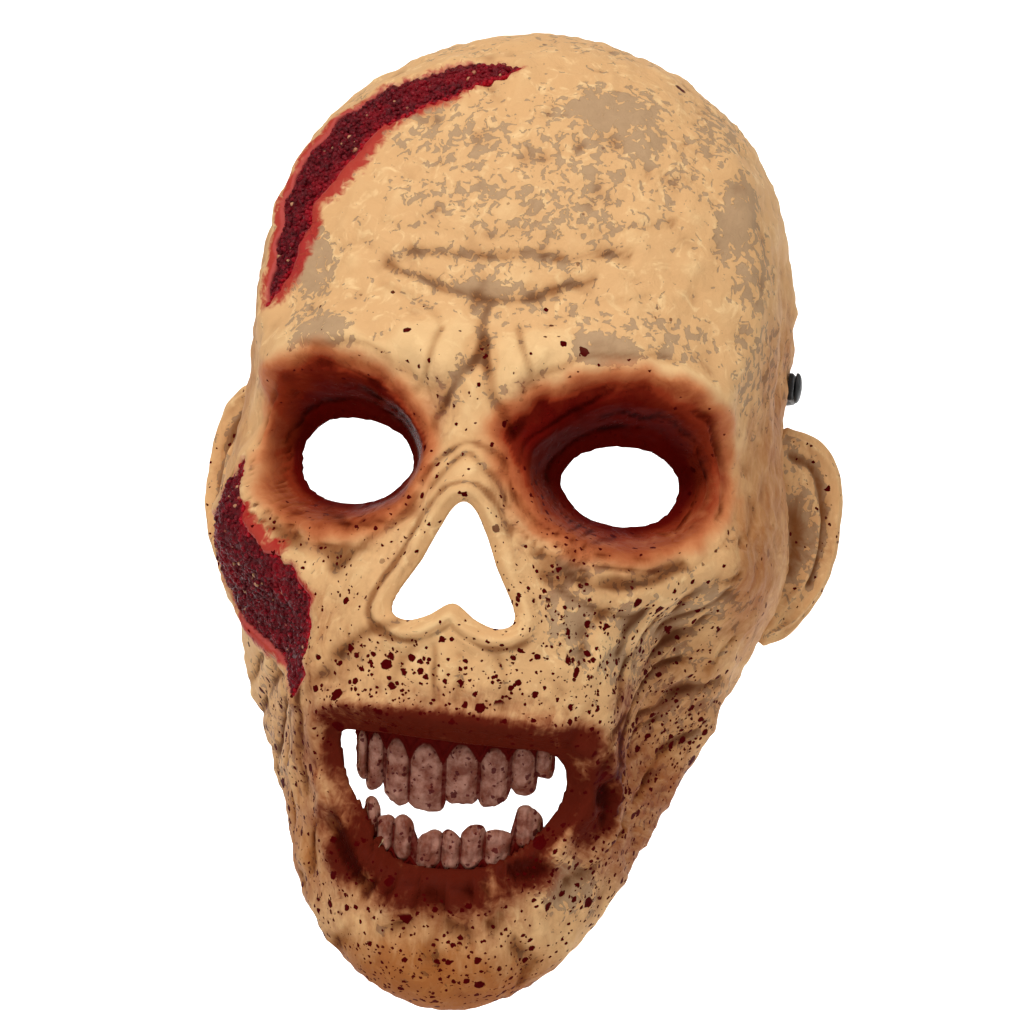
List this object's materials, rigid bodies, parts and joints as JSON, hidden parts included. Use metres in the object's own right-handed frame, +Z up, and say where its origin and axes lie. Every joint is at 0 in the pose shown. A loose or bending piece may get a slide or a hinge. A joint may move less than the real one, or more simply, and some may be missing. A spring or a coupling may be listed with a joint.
{
  "type": "zombie mask",
  "caption": "Open-backed rubber zombie face mask with eye, nose and mouth holes, bared teeth, wounds, ears and an elastic head strap.",
  "frame": {"origin": "inner face of the nose bridge on the eye line and the middle plane, where the mask sits on a head", "axes": "+Z up to the crown, -Y the way the face looks, +X the wearer's left"},
  "size_m": [0.1914, 0.2252, 0.2789],
  "materials": {
    "latex_skin": "painted latex, satin, dry-brushed cream over taupe with red spatter",
    "teeth": "painted latex, glossy, pink-grey with dark red gaps",
    "wound_fill": "granular, wet-looking dark crimson",
    "elastic": "woven black elastic band",
    "rivet": "moulded black plastic"
  },
  "bodies": {
    "root": {"mask_shell": "latex_skin", "upper_teeth": "teeth", "lower_teeth": "teeth", "scalp_gash": "wound_fill", "cheek_wound": "wound_fill", "head_strap": "elastic", "strap_rivet_left": "rivet", "strap_rivet_right": "rivet"}
  },
  "joints": []
}
